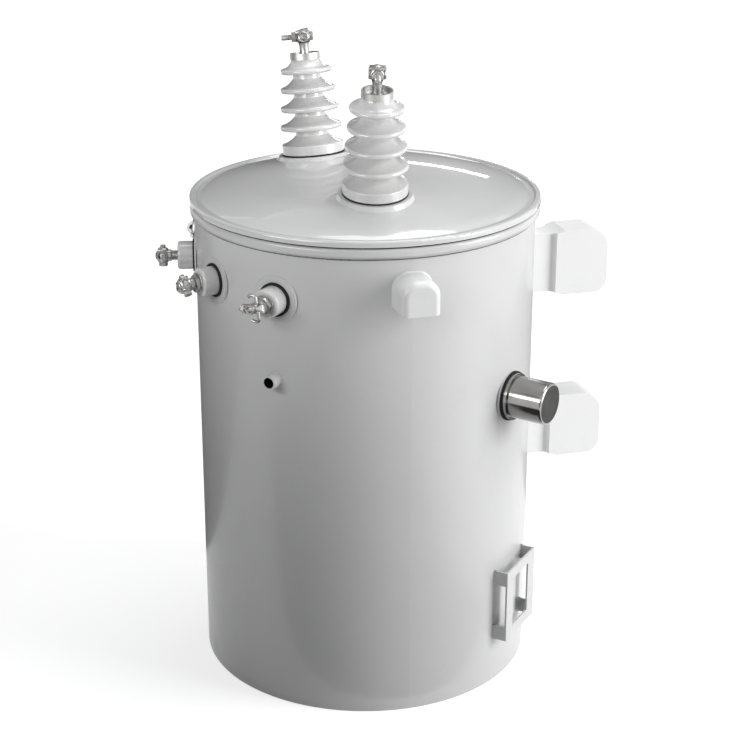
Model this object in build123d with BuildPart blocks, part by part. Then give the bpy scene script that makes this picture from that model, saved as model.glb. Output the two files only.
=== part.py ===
from build123d import *
from math import cos, radians, sin, sqrt
import os

os.makedirs("parts", exist_ok=True)

# Single-phase distribution transformer for a pole, in millimetres.
# The origin is the centre of the tank's base. +Z is up, +Y is the pole side with the
# hangers, and -Y is the front with the low-voltage bushings.

# Tank
tank_r = 267.0
wall_t = 3.0
tank_h = 766.0
bottom_t = 4.0
bottom_edge_r = 2.0
rim_h = 17.0
rim_out = 6.8
rim_round = 6.0

# Cover and its gasket
gasket_t = 2.0
gasket_in = 1.5
skirt_out = 7.3
skirt_h = 9.5
skirt_round = 4.0
sheet_t = 3.0
rim_flat_w = 7.5
groove_depth = 2.5
groove_w = 9.0
dome_slope_w = 19.8
dome_edge_rise = 6.0
dome_rise = 33.5

# High-voltage bushings, square to the domed cover
hv_from_wall = 137.5
hv_right_y = -19.0
hv_left_y = -51.0
hv_pad_r = 56.0
hv_pad_h = 3.0
hv_pad_foot = 7.0
hv_pad_depth = 10.0
hv_lean_share = 0.86
hv_hole_r = 20.0
hv_gasket_t = 2.5
hv_gasket_out = 0.5
hv_base_r = 49.5
hv_base_h = 15.0
hv_base_round = 2.0
hv_core_low_r = 27.0
hv_core_top_r = 22.0
hv_shed_count = 4
hv_shed_first = 41.5
hv_shed_pitch = 29.8
hv_shed_low_r = 49.5
hv_shed_top_r = 41.0
hv_shed_lip = 8.5
hv_shed_slope_h = 13.0
hv_neck_h = 17.5
hv_shank_r = 19.0
hv_shank_l = 40.0
dish_r = 23.7
dish_floor_t = 3.0
dish_wall_t = 2.5
dish_h = 10.0
post_r = 7.5
post_h = 21.0
post_in = 1.0
clamp_w = 20.0
clamp_h = 23.0
clamp_l = 26.0
clamp_edge_r = 5.0
hv_bolt_r = 4.4
hv_bolt_turn = {"right": -15.0, "left": -105.0}
hv_bolt_out = 25.0
hv_nut_af = 15.0
hv_nut_t = 7.5

# Low-voltage bushings on the front of the tank
lv_angles = [-44.5, -73.0, -101.5, -130.0]
lv_below_top = 89.0
lv_pad_r = 36.0
lv_pad_out = 1.2
lv_hole_r = 17.0
lv_gasket_r = 25.8
lv_gasket_t = 3.0
lv_body_r = 22.0
lv_body_l = 24.0
lv_body_round = 4.0
lv_shank_r = 16.0
lv_shank_l = 20.0
stud_r = 8.0
stud_gap = 0.3
stud_l = 17.0
stud_nut_af = 24.0
stud_nut_t = 6.0
stud_washer_r = 15.5
stud_washer_t = 2.5
lv_clamp_w = 26.0
lv_clamp_d = [26.0, 26.0, 26.0, 12.0]
lv_clamp_h = 24.0
lv_clamp_start = 9.0
lv_screw_r = 6.0
lv_screw_l = [50.0, 34.0, 34.0, 34.0]
lv_screw_out = 5.0
lv_clamp_edge = 4.0
lv_wire_r = 6.0
lv_wire_share = 0.67
lv_bolt_turn = [100.0, 42.0, 8.0, 20.0]

# Lifting lugs on both sides
lug_angles = {"right": 0.0, "left": 180.0}
lug_below_top = 39.0
lug_w = 58.0
lug_h = 52.0
lug_out = 50.0
lug_arch_r = 24.0
lug_edge_r = 10.0
lug_plate_t = 8.0

# Hangers on the pole side
hanger_angle = 90.0
hanger_spacing = 285.75
hanger_below_top = 126.0
hanger_h = 108.0
hanger_w = 58.0
hanger_out = 134.0
hanger_top_r = 34.0
hanger_bottom_r = 22.0
hanger_plate_t = 8.0
hanger_edge_r = 4.0
hanger_root = 10.0
hanger_neck_w = 42.0
hanger_neck_l = 46.0
hanger_neck_in = 6.0
hanger_neck_round = 9.0
pole_slot_w = 17.5
pole_slot_h = 36.0

# Tap changer
tap_angle = 42.5
tap_below_top = 276.5
tap_hole_r = 25.0
tap_seat_r = 40.0
tap_seat_out = 1.5
tap_gasket_r = 39.0
tap_gasket_t = 4.0
tap_flange_r = 37.0
tap_flange_t = 5.5
tap_cap_r = 33.0
tap_cap_l = 58.0
tap_cap_t = 2.0
tap_cap_round = 4.0

# Nameplate bracket
plate_angle = 46.8
plate_low_z = 78.0
plate_w = 107.0
plate_h = 121.5
plate_t = 3.0
plate_off = 18.5
plate_window_w = 58.0
plate_margin = 18.0
plate_leg_h = 24.0

# Pipe stub
pipe_angle = -45.0
pipe_below_top = 215.5
pipe_r = 11.0
pipe_bore_r = 8.5
pipe_out = 19.0

# Core and coils, sealed inside
core_from_wall = 97.0
core_below_top = 342.0


def wall_seat(angle, height, radius):
    """Plane square to the tank wall: x along the wall, y up, z outwards."""
    out = Vector(cos(radians(angle)), sin(radians(angle)), 0)
    along = Vector(-out.Y, out.X, 0)
    return Plane(origin=out * radius + Vector(0, 0, height), x_dir=along, z_dir=out)


def profile_plane(seat):
    """Plane through the axis of a seat: x is the radius and y runs along the axis."""
    return Plane(origin=seat.origin, x_dir=seat.x_dir, z_dir=-seat.y_dir)


def turned_seat(seat, angle):
    """The same seat, turned about its own axis."""
    along = seat.x_dir * cos(radians(angle)) + seat.y_dir * sin(radians(angle))
    return Plane(origin=seat.origin, x_dir=along, z_dir=seat.z_dir)


# Heights and radii that follow from the values above
lv_z = tank_h - lv_below_top
lug_top_z = tank_h - lug_below_top
hanger_upper_z = tank_h - hanger_below_top
tap_z = tank_h - tap_below_top
pipe_z = tank_h - pipe_below_top
core_r = tank_r - core_from_wall
core_h = tank_h - bottom_t - core_below_top
cover_z = tank_h + gasket_t
skirt_r = tank_r + skirt_out
rim_top_z = cover_z + skirt_h
groove_z = rim_top_z - groove_depth
groove_out_r = skirt_r - rim_flat_w
groove_in_r = groove_out_r - groove_w
dome_edge_r = groove_in_r - dome_slope_w
dome_edge_z = rim_top_z + dome_edge_rise
dome_top_z = dome_edge_z + dome_rise
dome_r = (dome_edge_r**2 + dome_rise**2) / (2 * dome_rise)
dome_centre_z = dome_top_z - dome_r
hv_x = tank_r - hv_from_wall
hv_places = {"right": (hv_x, hv_right_y), "left": (-hv_x, hv_left_y)}


def dome_height(radius):
    """Height of the cover's domed top at a distance from its centre."""
    return dome_centre_z + sqrt(dome_r**2 - radius**2)


def dome_seat(x, y, lift):
    """Plane on the domed cover above the point x, y, leaning out nearly as the dome does."""
    along = sqrt(dome_r**2 - x**2 - y**2)
    out = Vector(x * hv_lean_share, y * hv_lean_share, along).normalized()
    side = Vector(out.Z, 0, -out.X).normalized()
    return Plane(origin=Vector(x, y, dome_centre_z + along) + out * lift, x_dir=side, z_dir=out)


# Tank wall: a rolled sheet with a flat pad pressed out at each low-voltage bushing
with BuildPart() as tank_wall:
    with BuildSketch():
        Circle(tank_r)
    extrude(amount=tank_h)
    fillet(tank_wall.edges().group_by(Axis.Z)[0], radius=bottom_edge_r)
    for angle in lv_angles:
        with BuildSketch(wall_seat(angle, lv_z, tank_r - lv_pad_out)):
            Circle(lv_pad_r + lv_pad_out)
        extrude(amount=2 * lv_pad_out, taper=30)
    with BuildSketch(wall_seat(tap_angle, tap_z, tank_r - tap_seat_out)):
        Circle(tap_seat_r)
    extrude(amount=2 * tap_seat_out)
    with BuildSketch():
        Circle(tank_r - wall_t)
    extrude(amount=tank_h, mode=Mode.SUBTRACT)
    for angle in lv_angles:
        with BuildSketch(wall_seat(angle, lv_z, tank_r - 4 * wall_t)):
            Circle(lv_hole_r)
        extrude(amount=8 * wall_t, mode=Mode.SUBTRACT)
    with BuildSketch(wall_seat(tap_angle, tap_z, tank_r - 4 * wall_t)):
        Circle(tap_hole_r)
    extrude(amount=8 * wall_t, mode=Mode.SUBTRACT)
    with BuildSketch(wall_seat(pipe_angle, pipe_z, tank_r - 4 * wall_t)):
        Circle(pipe_bore_r)
    extrude(amount=8 * wall_t, mode=Mode.SUBTRACT)
tank_wall.part.label = "tank_wall"
export_step(tank_wall.part, "parts/tank_wall.step")

# Tank bottom: a flat disc welded inside the wall
with BuildPart() as tank_bottom:
    with BuildSketch():
        Circle(tank_r - wall_t)
    extrude(amount=bottom_t)
tank_bottom.part.label = "tank_bottom"
export_step(tank_bottom.part, "parts/tank_bottom.step")

# Tank rim: a rounded steel band round the top of the wall, which carries the cover
with BuildPart() as tank_rim:
    with BuildSketch(Plane.XZ) as band:
        with Locations((tank_r, tank_h)):
            Rectangle(rim_out, rim_h, align=(Align.MIN, Align.MAX))
        fillet(band.vertices().group_by(Axis.X)[-1], radius=rim_round)
    revolve(axis=Axis.Z)
tank_rim.part.label = "tank_rim"
export_step(tank_rim.part, "parts/tank_rim.step")

# Cover gasket: a flat rubber ring between the rim and the cover
with BuildPart() as cover_gasket:
    with BuildSketch(Plane.XY.offset(tank_h)):
        Circle(tank_r + rim_out - gasket_in)
        Circle(tank_r - wall_t, mode=Mode.SUBTRACT)
    extrude(amount=gasket_t)
cover_gasket.part.label = "cover_gasket"
export_step(cover_gasket.part, "parts/cover_gasket.step")

# Cover: a pressed dome inside a shallow groove and a rounded rim
with BuildPart() as cover:
    with BuildSketch(Plane.YZ):
        with BuildLine():
            low_in = (tank_r - wall_t, cover_z)
            Line(low_in, (skirt_r, cover_z))
            Line((skirt_r, cover_z), (skirt_r, rim_top_z - skirt_round))
            RadiusArc((skirt_r, rim_top_z - skirt_round), (skirt_r - skirt_round, rim_top_z), -skirt_round)
            Line((skirt_r - skirt_round, rim_top_z), (groove_out_r, rim_top_z))
            Line((groove_out_r, rim_top_z), (groove_out_r - groove_depth, groove_z))
            Line((groove_out_r - groove_depth, groove_z), (groove_in_r, groove_z))
            Spline(
                (groove_in_r, groove_z),
                (dome_edge_r, dome_edge_z),
                tangents=((-0.8, 0.6), (dome_centre_z - dome_edge_z, dome_edge_r)),
            )
            ThreePointArc(
                (dome_edge_r, dome_edge_z),
                (dome_edge_r / 2, dome_height(dome_edge_r / 2)),
                (0, dome_top_z),
            )
            Line((0, dome_top_z), (0, dome_top_z - sheet_t))
            ThreePointArc(
                (0, dome_top_z - sheet_t),
                (dome_edge_r / 2, dome_height(dome_edge_r / 2) - sheet_t),
                (dome_edge_r - sheet_t, dome_edge_z - sheet_t),
            )
            Line((dome_edge_r - sheet_t, dome_edge_z - sheet_t), (groove_in_r - sheet_t, groove_z - sheet_t))
            Line((groove_in_r - sheet_t, groove_z - sheet_t), (tank_r - wall_t, groove_z - sheet_t))
            Line((tank_r - wall_t, groove_z - sheet_t), low_in)
        make_face()
    revolve(axis=Axis.Z)
    for x, y in hv_places.values():
        pad_seat = dome_seat(x, y, hv_pad_h)
        with BuildSketch(profile_plane(pad_seat)):
            Polygon(
                (0, 0),
                (hv_pad_r, 0),
                (hv_pad_r + hv_pad_foot, -hv_pad_depth),
                (0, -hv_pad_depth),
                align=None,
            )
        revolve(axis=Axis(pad_seat.origin, pad_seat.z_dir))
        with BuildSketch(pad_seat):
            Circle(hv_hole_r)
        extrude(amount=-2 * hv_pad_depth, mode=Mode.SUBTRACT)
cover.part.label = "cover"
export_step(cover.part, "parts/cover.step")


def hv_core_radius(height):
    """Radius of the tapered porcelain core at a height above the seat."""
    top = hv_shed_first + hv_shed_pitch * (hv_shed_count - 1)
    share = min(max(height / top, 0), 1)
    return hv_core_low_r + (hv_core_top_r - hv_core_low_r) * share


# High-voltage bushings: glazed porcelain with drooping sheds, on a thin rubber gasket
for side, (x, y) in hv_places.items():
    gasket_seat = dome_seat(x, y, hv_pad_h)
    with BuildPart() as hv_gasket:
        with BuildSketch(gasket_seat):
            Circle(hv_base_r + hv_gasket_out)
            Circle(hv_hole_r, mode=Mode.SUBTRACT)
        extrude(amount=hv_gasket_t)
    hv_gasket.part.label = f"hv_gasket_{side}"
    export_step(hv_gasket.part, f"parts/hv_gasket_{side}.step")

    seat = dome_seat(x, y, hv_pad_h + hv_gasket_t)
    axis = Axis(seat.origin, seat.z_dir)
    last_shed = hv_shed_first + hv_shed_pitch * (hv_shed_count - 1)
    hv_top = last_shed + hv_neck_h
    with BuildPart() as hv_bushing:
        with BuildSketch(profile_plane(seat)):
            with BuildLine():
                Line((0, -hv_shank_l), (hv_shank_r, -hv_shank_l))
                Line((hv_shank_r, -hv_shank_l), (hv_shank_r, 0))
                Line((hv_shank_r, 0), (hv_base_r, 0))
                Line((hv_base_r, 0), (hv_base_r, hv_base_h - hv_base_round))
                last = (hv_base_r - hv_base_round, hv_base_h)
                RadiusArc((hv_base_r, hv_base_h - hv_base_round), last, -hv_base_round)
                for number in range(hv_shed_count):
                    height = hv_shed_first + hv_shed_pitch * number
                    share = number / (hv_shed_count - 1)
                    shed_r = hv_shed_low_r + (hv_shed_top_r - hv_shed_low_r) * share
                    core_low = hv_core_radius(last[1] + hv_shed_slope_h)
                    core_high = hv_core_radius(height)
                    slope_end = (core_low, last[1] + hv_shed_slope_h)
                    slope_mid = (
                        core_low + (last[0] - core_low) * 0.46,
                        last[1] + hv_shed_slope_h * 0.40,
                    )
                    ThreePointArc(last, slope_mid, slope_end)
                    under = height - hv_shed_lip / 2
                    Line(slope_end, (core_high, under))
                    Line((core_high, under), (shed_r - hv_shed_lip / 2, under))
                    ThreePointArc(
                        (shed_r - hv_shed_lip / 2, under),
                        (shed_r, height),
                        (shed_r - hv_shed_lip / 2, height + hv_shed_lip / 2),
                    )
                    last = (shed_r - hv_shed_lip / 2, height + hv_shed_lip / 2)
                slope_mid = (
                    hv_core_top_r + (last[0] - hv_core_top_r) * 0.42,
                    last[1] + (hv_top - last[1]) * 0.30,
                )
                ThreePointArc(last, slope_mid, (hv_core_top_r, hv_top))
                Line((hv_core_top_r, hv_top), (0, hv_top))
                Line((0, hv_top), (0, -hv_shank_l))
            make_face()
        revolve(axis=axis)
    hv_bushing.part.label = f"hv_bushing_{side}"
    export_step(hv_bushing.part, f"parts/hv_bushing_{side}.step")

    # Cap: a shallow metal dish on the porcelain, with the terminal post in its middle
    dish_seat = seat.offset(hv_top)
    with BuildPart() as hv_cap:
        with BuildSketch(dish_seat):
            Circle(dish_r)
        extrude(amount=dish_h)
        with BuildSketch(dish_seat.offset(dish_floor_t)):
            Circle(dish_r - dish_wall_t)
        extrude(amount=dish_h, mode=Mode.SUBTRACT)
    hv_cap.part.label = f"hv_cap_{side}"
    export_step(hv_cap.part, f"parts/hv_cap_{side}.step")

    # Terminal: a post with a clamp head, and a cross bolt with its nut
    post_seat = dish_seat.offset(dish_floor_t)
    clamp_mid = dish_seat.offset(dish_floor_t + post_h + clamp_h / 2)
    turn = radians(hv_bolt_turn[side])
    level = Vector(cos(turn), sin(turn), 0)
    bolt_dir = (level - seat.z_dir * level.dot(seat.z_dir)).normalized()
    bolt_seat = Plane(origin=clamp_mid.origin, x_dir=seat.z_dir, z_dir=bolt_dir)
    with BuildPart() as hv_terminal:
        with BuildSketch(post_seat):
            Circle(post_r)
        extrude(amount=post_h + post_in)
        with BuildSketch(bolt_seat.offset(-clamp_w / 2)):
            RectangleRounded(clamp_h, clamp_l, clamp_edge_r)
        extrude(amount=clamp_w)
        with BuildSketch(bolt_seat.offset(-clamp_w)):
            Circle(hv_bolt_r)
        extrude(amount=2 * clamp_w, mode=Mode.SUBTRACT)
    hv_terminal.part.label = f"hv_terminal_{side}"
    export_step(hv_terminal.part, f"parts/hv_terminal_{side}.step")

    with BuildPart() as hv_bolt:
        with BuildSketch(bolt_seat.offset(-clamp_w / 2 - hv_nut_t / 2)):
            Circle(hv_bolt_r)
        extrude(amount=clamp_w + hv_nut_t / 2 + hv_bolt_out)
        with BuildSketch(bolt_seat.offset(clamp_w / 2)):
            RegularPolygon(hv_nut_af / 2, 6, major_radius=False)
        extrude(amount=hv_nut_t)
        with BuildSketch(bolt_seat.offset(-clamp_w / 2)):
            Circle(hv_nut_af / 2)
        extrude(amount=-hv_nut_t / 2)
    hv_bolt.part.label = f"hv_bolt_{side}"
    export_step(hv_bolt.part, f"parts/hv_bolt_{side}.step")


# Low-voltage bushings: short porcelain on a gasket, with a stud, nut and wire clamp
for number, angle in enumerate(lv_angles, start=1):
    pad_seat = wall_seat(angle, lv_z, tank_r + lv_pad_out)
    with BuildPart() as lv_gasket:
        with BuildSketch(pad_seat):
            Circle(lv_gasket_r)
            Circle(lv_hole_r, mode=Mode.SUBTRACT)
        extrude(amount=lv_gasket_t)
    lv_gasket.part.label = f"lv_gasket_{number}"
    export_step(lv_gasket.part, f"parts/lv_gasket_{number}.step")

    body_seat = pad_seat.offset(lv_gasket_t)
    end_seat = body_seat.offset(lv_body_l)
    with BuildPart() as lv_bushing:
        with BuildSketch(body_seat):
            Circle(lv_body_r)
        extrude(amount=lv_body_l)
        fillet(lv_bushing.edges().sort_by(Axis(body_seat.origin, body_seat.z_dir))[-1], radius=lv_body_round)
        with BuildSketch(body_seat):
            Circle(lv_shank_r)
        extrude(amount=-lv_shank_l)
        with BuildSketch(body_seat.offset(-lv_shank_l)):
            Circle(stud_r + stud_gap)
        extrude(amount=lv_body_l + lv_shank_l, mode=Mode.SUBTRACT)
    lv_bushing.part.label = f"lv_bushing_{number}"
    export_step(lv_bushing.part, f"parts/lv_bushing_{number}.step")

    with BuildPart() as lv_stud:
        with BuildSketch(body_seat.offset(-lv_shank_l)):
            Circle(stud_r)
        extrude(amount=lv_shank_l + lv_body_l + stud_l)
        with BuildSketch(end_seat):
            Circle(stud_washer_r)
        extrude(amount=stud_washer_t)
        with BuildSketch(end_seat.offset(stud_washer_t)):
            RegularPolygon(stud_nut_af / 2, 6, major_radius=False)
        extrude(amount=stud_nut_t)
    lv_stud.part.label = f"lv_stud_{number}"
    export_step(lv_stud.part, f"parts/lv_stud_{number}.step")

    # Wire clamp on the stud, turned as it was tightened
    turned = turned_seat(end_seat.offset(lv_clamp_start), lv_bolt_turn[number - 1])
    clamp_d = lv_clamp_d[number - 1]
    wire_r = min(lv_wire_r, clamp_d / 4)
    wire_seat = Plane(
        origin=turned.origin + turned.z_dir * clamp_d * lv_wire_share,
        x_dir=turned.z_dir,
        z_dir=turned.x_dir,
    )
    screw_r = min(lv_screw_r, clamp_d / 2 - 1)
    screw_seat = Plane(
        origin=turned.origin + turned.z_dir * clamp_d / 2,
        x_dir=turned.z_dir,
        z_dir=turned.y_dir,
    )
    with BuildPart() as lv_clamp:
        with BuildSketch(turned):
            RectangleRounded(lv_clamp_w, lv_clamp_h, lv_clamp_edge)
        extrude(amount=clamp_d)
        with BuildSketch(screw_seat.offset(-lv_clamp_h / 2 - lv_screw_out)):
            Circle(screw_r)
        extrude(amount=lv_screw_l[number - 1])
        with BuildSketch(end_seat):
            Circle(stud_r + stud_gap)
        extrude(amount=stud_l + stud_gap, mode=Mode.SUBTRACT)
        with BuildSketch(wire_seat.offset(-lv_clamp_w)):
            Circle(wire_r)
        extrude(amount=2 * lv_clamp_w, mode=Mode.SUBTRACT)
    lv_clamp.part.label = f"lv_clamp_{number}"
    export_step(lv_clamp.part, f"parts/lv_clamp_{number}.step")

# Lifting lugs: pressed hoods, open below for a sling hook
for side, angle in lug_angles.items():
    seat = wall_seat(angle, lug_top_z - lug_h / 2, 0)
    with BuildPart() as lifting_lug:
        with BuildSketch(seat.offset(tank_r - lug_edge_r)) as front:
            Rectangle(lug_w, lug_h)
            fillet(front.vertices().group_by(Axis.Y)[-1], radius=lug_arch_r)
        extrude(amount=lug_out + lug_edge_r)
        outer = lifting_lug.faces().sort_by(Axis(seat.origin, seat.z_dir))[-1]
        fillet(outer.edges().filter_by(lambda e: e.center().Z > lug_top_z - lug_h + 1), radius=lug_edge_r)
        with BuildSketch(seat.offset(tank_r - lug_edge_r)) as inside:
            with Locations((0, -lug_plate_t)):
                Rectangle(lug_w - 2 * lug_plate_t, lug_h)
            fillet(inside.vertices().group_by(Axis.Y)[-1], radius=lug_arch_r - lug_plate_t)
        extrude(amount=lug_out + lug_edge_r - lug_plate_t, mode=Mode.SUBTRACT)
        with BuildSketch(Plane.XY.offset(lug_top_z - 2 * lug_h)):
            Circle(tank_r)
        extrude(amount=3 * lug_h, mode=Mode.SUBTRACT)
    lifting_lug.part.label = f"lifting_lug_{side}"
    export_step(lifting_lug.part, f"parts/lifting_lug_{side}.step")

# Hangers: bent-plate brackets whose slotted faces bolt to the pole
hanger_places = {"upper": hanger_upper_z, "lower": hanger_upper_z - hanger_spacing}
for place, height in hanger_places.items():
    seat = wall_seat(hanger_angle, height, 0)
    side_view = Plane(origin=seat.origin, x_dir=seat.z_dir, z_dir=-seat.x_dir)
    with BuildPart() as hanger:
        with BuildSketch(side_view) as outline:
            with Locations((tank_r - hanger_root, 0)):
                Rectangle(hanger_out + hanger_root, hanger_h, align=(Align.MIN, Align.CENTER))
            outer_corners = outline.vertices().group_by(Axis.X)[-1].sort_by(Axis.Y)
            fillet(outer_corners[0], radius=hanger_bottom_r)
            outer_corners = outline.vertices().group_by(Axis.Y)[-1].sort_by(Axis.X)
            fillet(outer_corners[-1], radius=hanger_top_r)
            for side in (1, -1):
                with Locations((tank_r + hanger_neck_l * 0.55, side * (hanger_h / 2 + 2.2 * hanger_neck_l - hanger_neck_in))):
                    Circle(2.2 * hanger_neck_l, mode=Mode.SUBTRACT)
        extrude(amount=hanger_w / 2, both=True)
        for side in (1, -1):
            with BuildSketch(Plane.XY.offset(height - hanger_h)) as beside_neck:
                with Locations((side * (hanger_neck_w / 2 + hanger_w / 2), tank_r + hanger_neck_l - hanger_w)):
                    RectangleRounded(hanger_w, 2 * hanger_w, hanger_neck_round)
            extrude(amount=2 * hanger_h, mode=Mode.SUBTRACT)
        with BuildSketch(side_view) as hollow:
            with Locations((tank_r - hanger_root, hanger_h / 2 - hanger_plate_t - hanger_neck_in)):
                Rectangle(hanger_out + hanger_root - hanger_plate_t, hanger_h, align=(Align.MIN, Align.MAX))
            inner_corner = hollow.vertices().group_by(Axis.Y)[-1].sort_by(Axis.X)[-1]
            fillet(inner_corner, radius=hanger_top_r - hanger_plate_t)
        extrude(amount=hanger_neck_w / 2 - hanger_plate_t, both=True, mode=Mode.SUBTRACT)
        with BuildSketch(side_view) as hood_hollow:
            with Locations((tank_r + hanger_neck_l + hanger_plate_t, hanger_h / 2 - hanger_plate_t - hanger_neck_in)):
                Rectangle(
                    hanger_out - hanger_neck_l - 2 * hanger_plate_t, hanger_h, align=(Align.MIN, Align.MAX)
                )
            inner_corner = hood_hollow.vertices().group_by(Axis.Y)[-1].sort_by(Axis.X)[-1]
            fillet(inner_corner, radius=hanger_top_r - hanger_plate_t)
        extrude(amount=hanger_w / 2 - hanger_plate_t, both=True, mode=Mode.SUBTRACT)
        with BuildSketch(seat.offset(tank_r + hanger_out - 2 * hanger_plate_t)):
            SlotOverall(pole_slot_h, pole_slot_w, rotation=90)
        extrude(amount=4 * hanger_plate_t, mode=Mode.SUBTRACT)
        with BuildSketch(Plane.XY.offset(height - hanger_h)):
            Circle(tank_r)
        extrude(amount=2 * hanger_h, mode=Mode.SUBTRACT)
    hanger.part.label = f"hanger_{place}"
    export_step(hanger.part, f"parts/hanger_{place}.step")

# Tap changer: gasket, flange and a spun metal cap over the switch shaft
tap_seat = wall_seat(tap_angle, tap_z, tank_r + tap_seat_out)
with BuildPart() as tap_gasket:
    with BuildSketch(tap_seat):
        Circle(tap_gasket_r)
        Circle(tap_hole_r, mode=Mode.SUBTRACT)
    extrude(amount=tap_gasket_t)
tap_gasket.part.label = "tap_gasket"
export_step(tap_gasket.part, "parts/tap_gasket.step")

with BuildPart() as tap_flange:
    with BuildSketch(tap_seat.offset(tap_gasket_t)):
        Circle(tap_flange_r)
    extrude(amount=tap_flange_t)
tap_flange.part.label = "tap_flange"
export_step(tap_flange.part, "parts/tap_flange.step")

cap_seat = tap_seat.offset(tap_gasket_t + tap_flange_t)
with BuildPart() as tap_cap:
    with BuildSketch(cap_seat):
        Circle(tap_cap_r)
    extrude(amount=tap_cap_l)
    fillet(tap_cap.edges().sort_by(Axis(cap_seat.origin, cap_seat.z_dir))[-1], radius=tap_cap_round)
    with BuildSketch(cap_seat):
        Circle(tap_cap_r - tap_cap_t)
    extrude(amount=tap_cap_l - tap_cap_t, mode=Mode.SUBTRACT)
tap_cap.part.label = "tap_cap"
export_step(tap_cap.part, "parts/tap_cap.step")

# Nameplate bracket: a bent plate with a window, on four legs welded to the wall
plate_seat = wall_seat(plate_angle, plate_low_z + plate_h / 2, 0)
plate_face = tank_r + plate_off
with BuildPart() as nameplate_bracket:
    with BuildSketch(plate_seat.offset(plate_face - plate_t)):
        Rectangle(plate_w, plate_h)
        Rectangle(plate_window_w, plate_h - 2 * plate_margin, mode=Mode.SUBTRACT)
    extrude(amount=plate_t)
    with BuildSketch(plate_seat.offset(plate_face - plate_t)):
        with GridLocations(plate_w - plate_t, plate_h - plate_leg_h, 2, 2):
            Rectangle(plate_t, plate_leg_h)
    extrude(amount=-plate_w / 2)
    with BuildSketch(Plane.XY.offset(plate_low_z)):
        Circle(tank_r)
    extrude(amount=plate_h, mode=Mode.SUBTRACT)
nameplate_bracket.part.label = "nameplate_bracket"
export_step(nameplate_bracket.part, "parts/nameplate_bracket.step")

# Pipe stub: a short open pipe welded to the front of the wall
pipe_seat = wall_seat(pipe_angle, pipe_z, 0)
with BuildPart() as pipe_stub:
    with BuildSketch(pipe_seat.offset(tank_r - pipe_r)):
        Circle(pipe_r)
    extrude(amount=pipe_r + pipe_out)
    with BuildSketch(Plane.XY.offset(pipe_z - 2 * pipe_r)):
        Circle(tank_r)
    extrude(amount=4 * pipe_r, mode=Mode.SUBTRACT)
    with BuildSketch(pipe_seat.offset(tank_r - pipe_r)):
        Circle(pipe_bore_r)
    extrude(amount=2 * pipe_r + pipe_out, mode=Mode.SUBTRACT)
pipe_stub.part.label = "pipe_stub"
export_step(pipe_stub.part, "parts/pipe_stub.step")

# Core and coils: the sealed inner mass, standing on the tank bottom
with BuildPart() as core_and_coils:
    with BuildSketch(Plane.XY.offset(bottom_t)):
        Circle(core_r)
    extrude(amount=core_h)
core_and_coils.part.label = "core_and_coils"
export_step(core_and_coils.part, "parts/core_and_coils.step")
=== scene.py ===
import math

import bmesh
import bpy
from mathutils import Matrix, Vector, noise


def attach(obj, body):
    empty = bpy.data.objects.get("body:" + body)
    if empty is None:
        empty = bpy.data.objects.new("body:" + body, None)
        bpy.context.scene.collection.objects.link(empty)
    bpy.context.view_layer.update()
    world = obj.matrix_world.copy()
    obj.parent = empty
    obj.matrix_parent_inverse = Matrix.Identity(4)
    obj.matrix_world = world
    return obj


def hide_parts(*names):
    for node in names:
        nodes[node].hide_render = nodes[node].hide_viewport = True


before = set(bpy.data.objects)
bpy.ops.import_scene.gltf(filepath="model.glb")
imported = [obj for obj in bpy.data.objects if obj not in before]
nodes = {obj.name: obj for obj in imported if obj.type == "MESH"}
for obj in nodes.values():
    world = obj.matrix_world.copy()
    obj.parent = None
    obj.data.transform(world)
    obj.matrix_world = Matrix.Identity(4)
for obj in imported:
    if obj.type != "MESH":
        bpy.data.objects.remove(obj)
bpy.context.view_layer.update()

# Studio. The transformer stands on a plain pale floor that runs up into a pale backdrop, lit by
# one large soft lamp on the right, one overhead, a small one on the left and a narrow strip
# behind it. The camera looks down a little from the front right.
camera_place = (2.661, -0.713, 1.542)
camera_down = 21.0
camera_turn = 75.0
camera_lens = 89.71

camera = bpy.data.objects.new("camera", bpy.data.cameras.new("camera"))
bpy.context.scene.collection.objects.link(camera)
camera.location = camera_place
camera.rotation_euler = (math.radians(90 - camera_down), 0, math.radians(camera_turn))
camera.data.lens = camera_lens
camera.data.sensor_width = 36
camera.data.clip_end = 60
bpy.context.scene.camera = camera
bpy.context.scene.view_settings.view_transform = "Standard"


def soft_lamp(name, place, aim, size, watts):
    lamp = bpy.data.objects.new(name, bpy.data.lights.new(name, "AREA"))
    lamp.data.shape = "RECTANGLE"
    lamp.data.size, lamp.data.size_y = size
    lamp.data.energy = watts
    lamp.location = place
    lamp.rotation_euler = (Vector(aim) - Vector(place)).to_track_quat("-Z", "Y").to_euler()
    lamp.visible_camera = False
    bpy.context.scene.collection.objects.link(lamp)


soft_lamp("key_lamp", (1.80, 2.75, 1.50), (0, 0, 0.45), (1.7, 2.4), 128)
soft_lamp("top_lamp", (-0.3, 0.6, 3.4), (0, 0, 0.6), (1.8, 1.8), 46)
soft_lamp("left_lamp", (0.78, -1.25, 1.25), (0.0, 0.0, 2.49), (0.9, 0.7), 21)
soft_lamp("window_lamp", (-3.68, 1.56, 1.50), (0, 0, 0.80), (0.62, 0.10), 4)


def seen_share(tree):
    """1 on camera, glossy and transmission rays, so that metal shows the white studio too."""
    rays = tree.nodes.new("ShaderNodeLightPath")
    share = rays.outputs["Is Camera Ray"]
    for kind in ("Is Glossy Ray", "Is Transmission Ray"):
        either = tree.nodes.new("ShaderNodeMath")
        either.operation = "MAXIMUM"
        tree.links.new(share, either.inputs[0])
        tree.links.new(rays.outputs[kind], either.inputs[1])
        share = either.outputs[0]
    return share


air_strength = 0.26

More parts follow.
